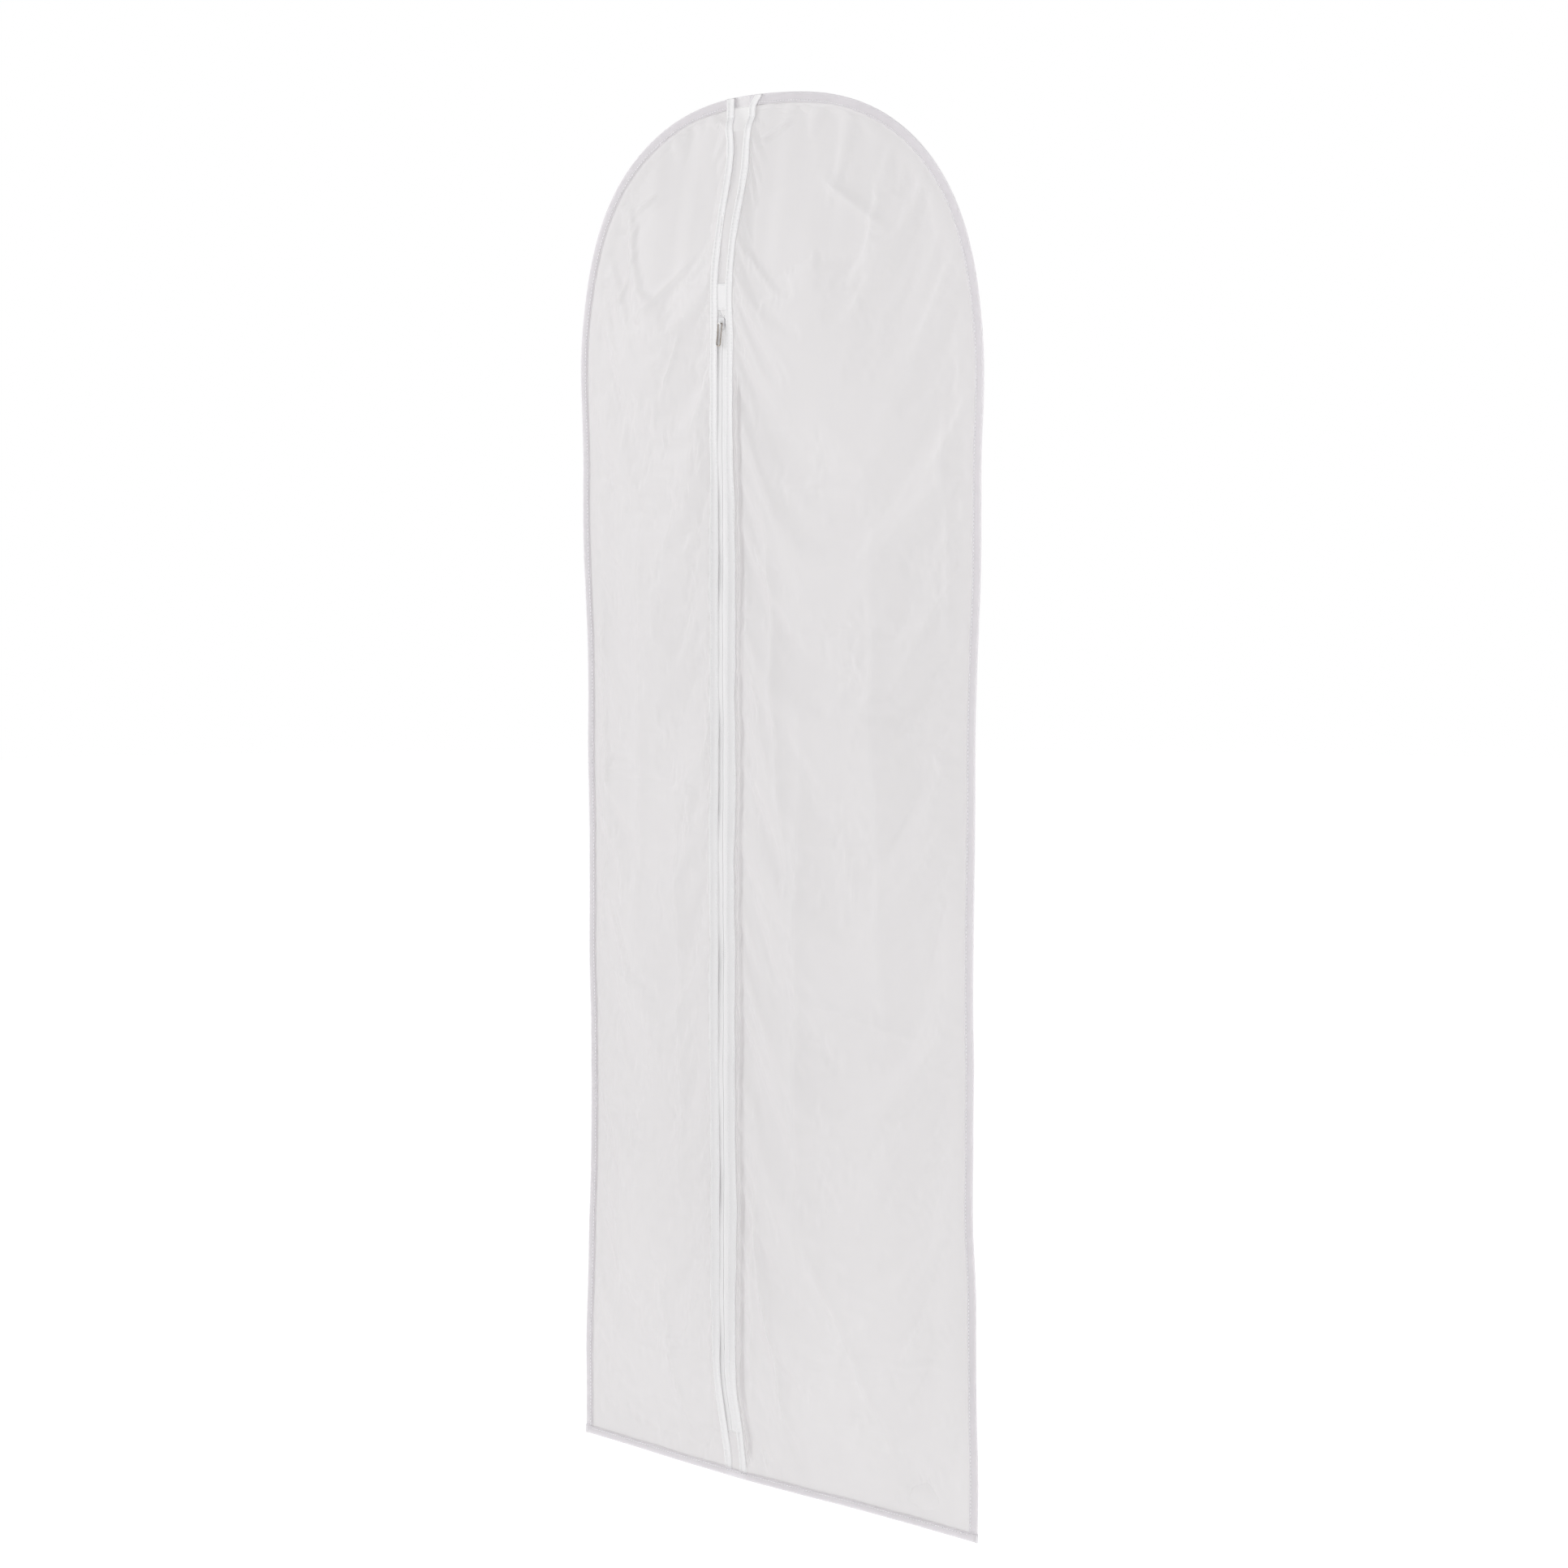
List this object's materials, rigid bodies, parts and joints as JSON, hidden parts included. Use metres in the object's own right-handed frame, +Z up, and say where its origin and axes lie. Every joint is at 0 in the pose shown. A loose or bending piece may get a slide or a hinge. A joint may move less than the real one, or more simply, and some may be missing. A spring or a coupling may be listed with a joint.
{
  "type": "garment bag",
  "caption": "Long frosted film garment bag with an arched top, a ribbon-edged front slot holding a full-length coil zip, and an open notch for hanger hooks.",
  "frame": {"origin": "middle of the hook opening at the bag's top edge, in the plane of the side seams and on the zip line", "axes": "+Z up, along the zip, which is the bag's length; the zip and the bag's front face -Y; +X to the right seen from the front. The bag's middle lies at x = +48 mm"},
  "size_m": [0.61, 0.0595, 1.524],
  "materials": {
    "film": "frosted translucent film",
    "binding": "folded frosted film",
    "ribbon": "white woven ribbon",
    "zip_tape": "white woven zip tape",
    "zip_coil": "white nylon coil",
    "thread": "white sewing thread",
    "slider_enamel": "white enamel",
    "pull_wire": "warm nickel plate"
  },
  "bodies": {
    "root": {"back_panel": "film", "front_panel_left": "film", "front_panel_right": "film", "upper_window_strip": "film", "lower_window_strip": "film", "slot_ribbon_left": "ribbon", "slot_ribbon_right": "ribbon", "edge_binding": "binding", "hem_binding": "binding", "zip_tape_left": "zip_tape", "zip_tape_right": "zip_tape", "zip_coil_left": "zip_coil", "zip_coil_right": "zip_coil", "zip_top_patch": "ribbon", "zip_top_stops": "zip_coil", "zip_bottom_stop": "zip_coil", "edge_thread": "thread", "hem_thread": "thread", "patch_thread": "thread", "ribbon_thread_left": "thread", "ribbon_thread_right": "thread"},
    "slider": {"slider_body": "slider_enamel"},
    "pull": {"pull_loop": "pull_wire"}
  },
  "joints": [
    {"name": "zip_slide", "type": "slide", "parent": "root", "child": "slider", "axis": [0, 0, -1], "range_m": [0, 1.124]},
    {"name": "pull_swing", "type": "hinge", "parent": "slider", "child": "pull", "pos_m": [0, -0.031, -0.243], "axis": [-1, 0, 0], "range_deg": [0, 170]}
  ]
}
